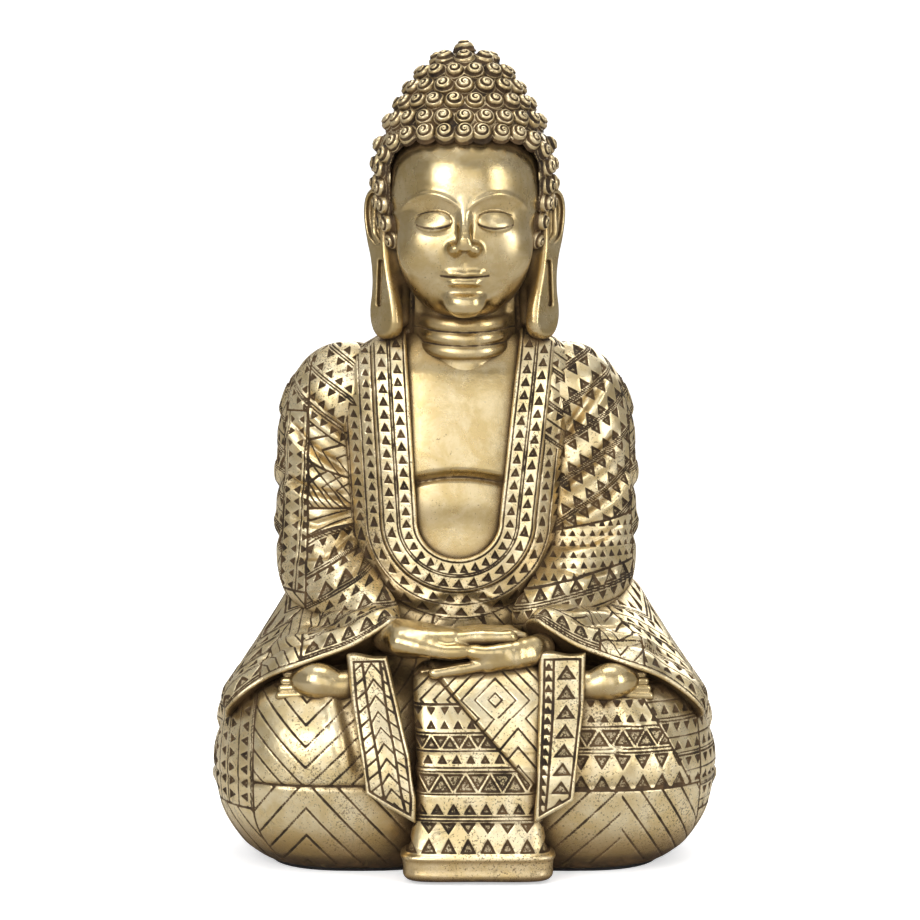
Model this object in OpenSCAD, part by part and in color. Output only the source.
// Seated Buddha statue in meditation, a hollow resin casting in glued sections.
// The statue faces -Y and stands on z = 0. "right" and "left" are the figure's own: right is -X.

/* [Statue] */
// Height from the floor to the topmost curl
statue_height = 400; // [250:10:700]
// Breadth of the figure, against the proportions in the tables below
breadth = 1.04; // [0.96:0.01:1.08]
// Thickness of the cast walls, on a statue 400 high
wall = 5; // [3:0.5:7]

/* [Base] */
// Thickness of the plate that closes the underside
plate_thickness = 4; // [3:1:8]
// Thickness of the felt under the statue
felt_thickness = 1.5; // [1:0.5:2.5]
// How far the felt stays inside the outline of the base
felt_inset = 4; // [2:1:8]

/* [Dress] */
// Width of the collar band along the open neckline
collar_width = 17; // [10:1:20]
// How far the collar band stands proud of the robe
collar_thickness = 2.2; // [1.5:0.1:3.5]
// How far the bare chest lies below the robe
chest_depth = 3; // [2:0.5:5]

/* [Head] */
// Radius of the neck between its rings
neck_radius = 22.5; // [20:0.5:24]
// Number of rings round the neck
neck_rings = 3; // [2:1:4]
// Radius of one hair curl, at its full width
curl_radius = 4.3; // [3.6:0.1:4.5]

/* [Hidden] */

model_height = 400;
size = statue_height / model_height;
gold = [0.80, 0.66, 0.36];
gold_dark = [0.66, 0.52, 0.27];
felt_colour = [0.12, 0.12, 0.12];

right = -1;
left = 1;
slab = 0.02;         // thickness of the slices that a stack is hulled from
body_facets = 44;    // corners of an outer slice
cavity_facets = 22;  // corners of an inner slice
ball_facets = 18;
finger_facets = 12;
plate_gap = 0.2;     // glue gap round the base plate
torso_x = -4;        // the torso sits a little to the figure's right of the head
z_floor = felt_thickness;

// A slice is [z, centre x, centre y, half width, half depth].
leg_slices = [
    [z_floor, 48, 6, 48, 62],
    [10, 52, 5, 54, 68],
    [28, 55, 4, 61, 75],
    [48, 56, 4, 63, 77],
    [64, 56, 5, 61, 75],
    [78, 55, 7, 58, 70],
    [89, 53, 10, 52, 62],
    [98, 48, 15, 38, 46]
];
lap_slices = [
    [z_floor, 0, 16, 52, 62],
    [28, 0, 15, 60, 71],
    [60, 0, 17, 64, 69],
    [80, 0, 22, 66, 63],
    [90, 0, 28, 62, 55],
    [98, 0, 34, 50, 44]
];
torso_slices = [
    [82, 1, 38, 60, 44],
    [104, 0, 36, 61, 44.5],
    [135, -1, 35, 58, 43],
    [165, -1, 35, 57, 40.5],
    [195, -1, 36, 60, 39.5],
    [220, 0, 37, 62, 37.5],
    [238, 1, 37, 62, 35],
    [250, 3, 37, 55, 29],
    [258, 4, 36, 42, 23],
    [263, 4, 35, 29, 18]
];
head_slices = [
    [264, 0, 4, 10, 9],
    [270, 0, 10, 20, 20],
    [281, 0, 17, 29, 32],
    [296, 0, 22, 35, 39.5],
    [314, 0, 24, 37.5, 42.5],
    [332, 0, 25, 37.5, 43],
    [346, 0, 26, 34, 39],
    [358, 0, 28, 26, 30]
];
hair_slices = [
    [288, 0, 34, 32, 30],
    [298, 0, 30, 37.5, 38],
    [314, 0, 27, 40.5, 42.5],
    [330, 0, 26, 41.5, 43.5],
    [344, 0, 26, 40, 42],
    [355, 0, 27, 36, 37.5],
    [364, 0, 28, 31.5, 33],
    [372, 0, 29, 27, 28],
    [380, 0, 29, 22, 22.5],
    [388, 0, 29, 15, 15],
    [394.4, 0, 29, 6, 6]
];
apron_slices = [
    [z_floor, 6, -68, 33, 18],
    [12, 6, -68, 34.5, 17.5],
    [17, 6, -67, 29.5, 15.5],
    [40, 6, -66, 28.5, 13.5],
    [62, 7, -62, 29.5, 13],
    [80, 7, -56, 30, 12],
    [93, 6, -46, 29, 13],
    [98, 5, -41, 25, 12]
];
right_sash_slices = [
    [29, -23, -79.5, 2.5, 3.5],
    [43, -33, -78.5, 12, 3.5],
    [60, -35, -76.5, 12, 3.5],
    [79, -39, -68, 11.5, 3.5],
    [94, -42, -57, 11, 4],
    [102, -43, -49, 10, 5]
];
left_sash_slices = [
    [28, 33, -79.5, 2.5, 3.5],
    [42, 41, -78.5, 8.5, 3.5],
    [60, 44, -76.5, 9, 3.5],
    [79, 46, -68, 9, 3.5],
    [94, 47, -57, 9, 4],
    [104, 46, -49, 8.5, 5]
];

// A ball is [x, y, z, radius]. The arms are given for the figure's left and mirrored about the torso.
arm_balls = [
    [55, 40, 230, 23],
    [62, 39, 206, 24],
    [62, 36, 174, 24.5],
    [62, 30, 141, 25.5],
    [54, 4, 124, 21],
    [40, -20, 117, 15]
];
cuff_back = [72, 33, 121, 17];
cuff_knee = [101, -6, 79, 12];
cuff_hip = [90, 44, 84, 13];
cuff_front = [75, -44, 95, 10];
cuff_wrist_top = [38, -34, 118, 10];
cuff_wrist_low = [38, -42, 108, 8];
foot_balls = [
    [46, -52, 85, 8],
    [60, -54, 87, 9],
    [73, -52, 89, 8.5],
    [82, -47, 92, 6]
];
ear_balls = [
    [39, 28, 321, 6],
    [42, 27, 312, 5.5],
    [41, 25, 300, 3.6],
    [38, 20, 284, 3.2],
    [37.5, 16, 272, 4.6],
    [37, 15, 265, 5.6]
];
neck_low = 244;
neck_top = 272;
neck_place = [0, 28, 0];
spigot_radius = 14;
spigot_length = 10;
hairline = 349;
face_half_width = 34;

// ---------- general shapes ----------

function signed_power(v, p) = sign(v) * pow(abs(v), p);

// Points of a rounded rectangle with half sizes a and b; a squareness of 2 is an ellipse.
function rounded_outline(a, b, squareness, corners) = [
    for (i = [0 : corners - 1])
        let (t = 360 * i / corners)
        [a * signed_power(cos(t), 2 / squareness), b * signed_power(sin(t), 2 / squareness)]
];

module slice(row, grow, squareness, facets)
    translate([row[1], row[2], row[0]])
        linear_extrude(slab)
            polygon(rounded_outline(max(row[3] + grow, 1), max(row[4] + grow, 1), squareness, facets));

module stack(rows, grow = 0, squareness = 2.3, facets = body_facets)
    for (i = [0 : len(rows) - 2])
        hull() {
            slice(rows[i], grow, squareness, facets);
            slice(rows[i + 1], grow, squareness, facets);
        }

module ball(b, facets = ball_facets)
    translate([b[0], b[1], b[2]]) sphere(b[3], $fn = facets);

module chain(balls, facets = ball_facets)
    for (i = [0 : len(balls) - 2])
        hull() {
            ball(balls[i], facets);
            ball(balls[i + 1], facets);
        }

module on_side(side)
    if (side == left) children(); else mirror([1, 0, 0]) children();

// ---------- base and legs ----------

module legs_shape(grow = 0, facets = body_facets) {
    for (side = [right, left])
        on_side(side) stack(leg_slices, grow, 2.6, facets);
    stack(lap_slices, grow, 2.6, facets);
}

module base_outline(inset)
    offset(delta = -inset) scale([breadth, 1]) {
        for (row = [leg_slices[0], lap_slices[0]], side = [right, left])
            translate([side * row[1], row[2]])
                polygon(rounded_outline(row[3], row[4], 2.6, body_facets));
    }

module felt_base()
    color(felt_colour) linear_extrude(felt_thickness) base_outline(felt_inset);

module base_plate()
    color(gold_dark)
        translate([0, 0, z_floor])
            linear_extrude(plate_thickness) base_outline(wall + plate_gap);

module crossed_legs()
    color(gold) difference() {
        scale([breadth, 1, 1]) legs_shape();
        scale([breadth, 1, 1]) legs_shape(-wall, cavity_facets);
        translate([0, 0, z_floor - 1])
            linear_extrude(plate_thickness + 1) base_outline(wall);
    }

// ---------- robe ----------

module torso_shape(grow = 0, facets = body_facets)
    translate([torso_x, 0, 0]) stack(torso_slices, grow, 2.3, facets);

// Outline of the open neckline, a long U drawn in x and z.
module neckline(grow = 0)
    offset(r = grow, $fn = 32)
        union() {
            translate([torso_x + 1, 163]) scale([1, 0.95]) circle(19.5, $fn = 32);
            polygon([[-23.5, 163], [16.5, 163], [25.5, 246], [25.5, 268], [-27.5, 268], [-27.5, 246]]);
        }

// The neckline as a prism that reaches from in front of the chest to its middle.
module neckline_prism(grow = 0, depth = 42)
    translate([0, depth - 20, 0]) rotate([90, 0, 0]) linear_extrude(depth) neckline(grow);

module torso_robe()
    color(gold_dark) difference() {
        torso_shape();
        torso_shape(-wall, cavity_facets);
        legs_shape();
        neckline_prism();
        neck_hole();
    }

module chest()
    color(gold) difference() {
        intersection() {
            torso_shape(-chest_depth);
            neckline_prism(-0.1);
        }
        torso_shape(-chest_depth - wall, cavity_facets);
        neck_hole();
    }

module collar_band()
    color(gold_dark) difference() {
        intersection() {
            torso_shape(collar_thickness);
            neckline_prism(collar_width, 40);
            translate([-60, -40, 120]) cube([120, 80, 128]);
        }
        torso_shape();
        neckline_prism(0, 60);
        neck_hole();
    }

module sleeve_shape(side)
    translate([torso_x, 0, 0]) on_side(side) chain(arm_balls);

module sleeve(side)
    color(gold_dark) difference() {
        sleeve_shape(side);
        torso_shape();
        legs_shape();
    }

module cuff_shape(side)
    on_side(side) {
        hull() { ball(cuff_back); ball(cuff_knee); ball(cuff_hip); }
        hull() { ball(cuff_back); ball(cuff_knee); ball(cuff_front); }
        hull() { ball(cuff_back); ball(cuff_front); ball(cuff_wrist_low); ball(cuff_wrist_top); }
    }

module cuff(side)
    color(gold_dark) difference() {
        cuff_shape(side);
        sleeve_shape(side);
        torso_shape();
        legs_shape();
        hand_shape(side);
    }

// ---------- hands and feet ----------

// A palm-up hand whose fingers point across the body; the wrist is at w and the fingertips at t.
module open_hand(w, t, width, lift) {
    knuckles = 0.42;
    finger_radius = 3.9;
    reach = [t[0] - w[0], t[1] - w[1], t[2] - w[2]];
    function along(share, across, up = 0) = [
        w[0] + reach[0] * share,
        w[1] + reach[1] * share - width / 2 + across * width,
        w[2] + reach[2] * share + up
    ];
    hull() {
        translate(along(0.04, 0.35)) sphere(7.5, $fn = finger_facets);
        translate(along(0.16, 0.2)) sphere(6, $fn = finger_facets);
        translate(along(knuckles, 0)) sphere(5, $fn = finger_facets);
        translate(along(knuckles, 1)) sphere(5, $fn = finger_facets);
        translate(along(0.16, 0.9)) sphere(5, $fn = finger_facets);
    }
    for (finger = [0 : 3]) {
        across = finger / 3;
        tip = 1 - 0.14 * abs(across - 0.6);
        hull() {
            translate(along(knuckles, across)) sphere(finger_radius + 0.4, $fn = finger_facets);
            translate(along(0.72, across, lift)) sphere(finger_radius, $fn = finger_facets);
        }
        hull() {
            translate(along(0.72, across, lift)) sphere(finger_radius, $fn = finger_facets);
            translate(along(tip, across, lift * 1.2)) sphere(finger_radius - 0.6, $fn = finger_facets);
        }
    }
    // thumb, lying over the palm towards the middle
    hull() {
        translate(along(0.18, 0.95, 5)) sphere(4.6, $fn = finger_facets);
        translate(along(0.5, 0.8, 9)) sphere(3.4, $fn = finger_facets);
    }
}

module left_hand_shape() open_hand([34, -40, 102], [-22, -50, 98], 21, 0);
module right_hand_shape() open_hand([-38, -38, 111], [26, -49, 107], 21, 2);
module hand_shape(side)
    if (side == left) left_hand_shape(); else right_hand_shape();

module left_hand()
    color(gold) difference() {
        left_hand_shape();
        legs_shape();
        torso_shape();
    }

module right_hand()
    color(gold) difference() {
        right_hand_shape();
        left_hand_shape();
        legs_shape();
        torso_shape();
    }

module foot_shape(side) on_side(side) {
    chain(foot_balls, finger_facets + 2);
    for (toe = [0 : 4])
        hull() {
            translate([76, -50 + 2 * toe, 87 + 2.4 * toe]) sphere(3.2, $fn = finger_facets);
            translate([86 - 0.6 * toe, -46 + 2 * toe, 88.5 + 2.4 * toe]) sphere(2.5, $fn = finger_facets);
        }
}

module foot(side)
    color(gold) difference() {
        foot_shape(side);
        legs_shape();
        cuff_shape(side);
        if (side == right) right_sash_shape(); else left_sash_shape();
    }

// ---------- cloth over the legs ----------

module apron_shape() stack(apron_slices, 0, 5);
module right_sash_shape() stack(right_sash_slices, 0, 3, 20);
module left_sash_shape() stack(left_sash_slices, 0, 3, 20);

module front_apron()
    color(gold_dark) difference() {
        apron_shape();
        legs_shape();
        left_hand_shape();
        right_hand_shape();
    }

module right_sash()
    color(gold) difference() {
        right_sash_shape();
        apron_shape();
        legs_shape();
        cuff_shape(right);
        right_hand_shape();
    }

module left_sash()
    color(gold) difference() {
        left_sash_shape();
        apron_shape();
        legs_shape();
        cuff_shape(left);
        left_hand_shape();
    }

// ---------- neck, head and hair ----------

ring_pitch = 6.5;
ring_bulge = 2.2;

// The neck with its rings, and a spigot at each end that locates it in the torso and the head.
module neck_shape() {
    first_ring = 252;
    translate(neck_place) {
        translate([0, 0, neck_low]) cylinder(h = neck_top - neck_low, r = neck_radius);
        for (i = [0 : neck_rings - 1])
            translate([0, 0, first_ring + i * ring_pitch])
                rotate_extrude()
                    translate([neck_radius - 1, 0]) circle(ring_bulge + 1, $fn = 24);
        translate([0, 0, neck_low - spigot_length])
            cylinder(h = neck_top - neck_low + 2 * spigot_length, r = spigot_radius);
    }
}

module neck() color(gold) neck_shape();

// Room for the neck in a part that is widened as a whole.
module neck_hole() scale([1 / breadth, 1, 1]) neck_shape();

module head_shape(grow = 0, facets = body_facets) stack(head_slices, grow, 2.15, facets);

module head()
    color(gold) difference() {
        head_shape();
        head_shape(-wall, cavity_facets);
        neck_hole();
    }

module ear_shape(side) on_side(side) chain(ear_balls, 16);

module ear(side)
    color(gold) difference() {
        ear_shape(side);
        head_shape();
    }

// The opening in the hair that the face shows through, cut straight along Y.
module face_window()
    translate([0, 24, 0]) rotate([90, 0, 0]) linear_extrude(80)
        offset(r = 12, $fn = 32) square([2 * face_half_width - 24, 2 * (hairline - 312) - 24 + 60], center = true);

module hair_cap()
    color(gold_dark) difference() {
        stack(hair_slices, 0, 2.1);
        head_shape();
        translate([0, 0, 282]) face_window();
        ear_shape(right);
        ear_shape(left);
    }

// Half width, half depth and centre y of the scalp at height z.
function scalp(z) = [
    lookup(z, [for (s = hair_slices) [s[0], s[3]]]),
    lookup(z, [for (s = hair_slices) [s[0], s[4]]]),
    lookup(z, [for (s = hair_slices) [s[0], s[2]]])
];

curl_rows = [300, 309.5, 319, 328.5, 338, 347.5, 356.5, 365, 373, 380.5, 388.5];
curl_pitch = 10.2;
curl_lift = 1;  // how far a curl's middle stands outside the scalp

// A ring of beads round the scalp, left out where the face and the ears are.
module curl_row(i) {
    z = curl_rows[i];
    s = scalp(z);
    half_width = s[0] * breadth + curl_lift;
    half_depth = s[1] + curl_lift;
    perimeter = PI * (half_width + half_depth);
    count = max(4, round(perimeter / curl_pitch));
    for (k = [0 : count - 1]) {
        t = -90 + 360 * (k + (i % 2) / 2) / count;
        x = half_width * cos(t);
        y = half_depth * sin(t);
        over_face = y < 0 && abs(x) < breadth * (face_half_width + 3.5) && z < hairline + 3;
        over_ear = abs(x) > breadth * 35 && z < 324 && y < 8;
        if (!over_face && !over_ear)
            translate([x, y + s[2], z]) sphere(curl_radius);
    }
}

module hair_curls()
    color(gold) {
        for (i = [0 : len(curl_rows) - 1]) curl_row(i);
        translate([0, hair_slices[10][2], model_height - curl_radius])
            sphere(curl_radius);
    }

scale(size) {
    felt_base();
    base_plate();
    crossed_legs();
    // the base above is widened in its own modules, and the neck and curls below stay round
    scale([breadth, 1, 1]) {
        front_apron();
        right_sash();
        left_sash();
        foot(right);  // right_foot
        foot(left);  // left_foot
        torso_robe();
        chest();
        collar_band();
        sleeve(right);  // right_sleeve
        sleeve(left);  // left_sleeve
        cuff(right);  // right_cuff
        cuff(left);  // left_cuff
        right_hand();
        left_hand();
        head();
        ear(right);  // right_ear
        ear(left);  // left_ear
        hair_cap();
    }
    neck();
    hair_curls();
}
